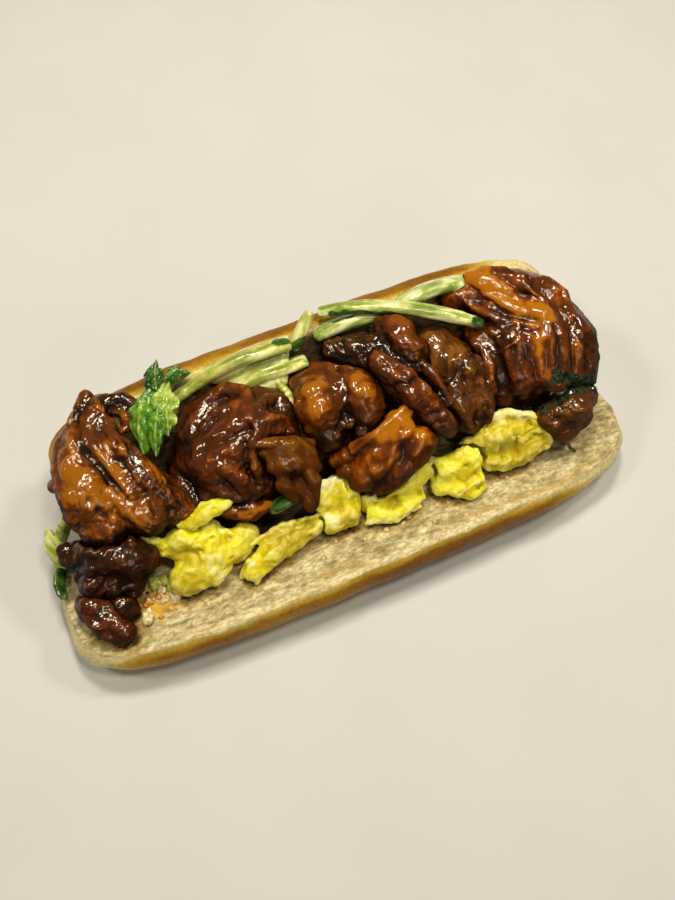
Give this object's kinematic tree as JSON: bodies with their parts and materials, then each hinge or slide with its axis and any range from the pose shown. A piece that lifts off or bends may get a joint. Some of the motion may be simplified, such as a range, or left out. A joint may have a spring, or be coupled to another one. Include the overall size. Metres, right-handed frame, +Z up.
{
  "type": "chicken sub",
  "caption": "Soft sub roll opened on its hinge and filled with glazed chicken pieces, scrambled egg, cucumber sticks and a leaf.",
  "frame": {"origin": "centre of the sub's footprint, on the surface it rests on", "axes": "+X along the roll, +Y towards the standing half of the roll, +Z up"},
  "size_m": [0.1858, 0.0808, 0.0502],
  "materials": {
    "bread": "soft crumb on the cut faces, golden-brown crust outside",
    "glazed_chicken": "sticky brown glaze, wet and glossy",
    "scrambled_egg": "soft moist curds",
    "cucumber": "wet cut flesh with a dark green skin edge",
    "leaf": "wet crinkled leaf"
  },
  "bodies": {
    "root": {"chicken_end": "glazed_chicken", "chicken_finger": "glazed_chicken", "chicken_flap": "glazed_chicken", "chicken_fold": "glazed_chicken", "chicken_knob": "glazed_chicken", "chicken_lump": "glazed_chicken", "chicken_middle": "glazed_chicken", "chicken_nugget": "glazed_chicken", "chicken_scrap": "glazed_chicken", "chicken_slab": "glazed_chicken", "chicken_sliver": "glazed_chicken", "chicken_wing": "glazed_chicken", "cucumber_bit": "cucumber", "cucumber_left": "cucumber", "cucumber_long": "cucumber", "cucumber_lower": "cucumber", "cucumber_ribbon": "cucumber", "cucumber_short": "cucumber", "cucumber_skin": "cucumber", "cucumber_upright": "cucumber", "cucumber_wedge": "cucumber", "egg_cluster": "scrambled_egg", "egg_cube": "scrambled_egg", "egg_frill": "scrambled_egg", "egg_mound": "scrambled_egg", "egg_petal": "scrambled_egg", "egg_strip": "scrambled_egg", "egg_tuft": "scrambled_egg", "leaf": "leaf", "roll": "bread"}
  },
  "joints": []
}
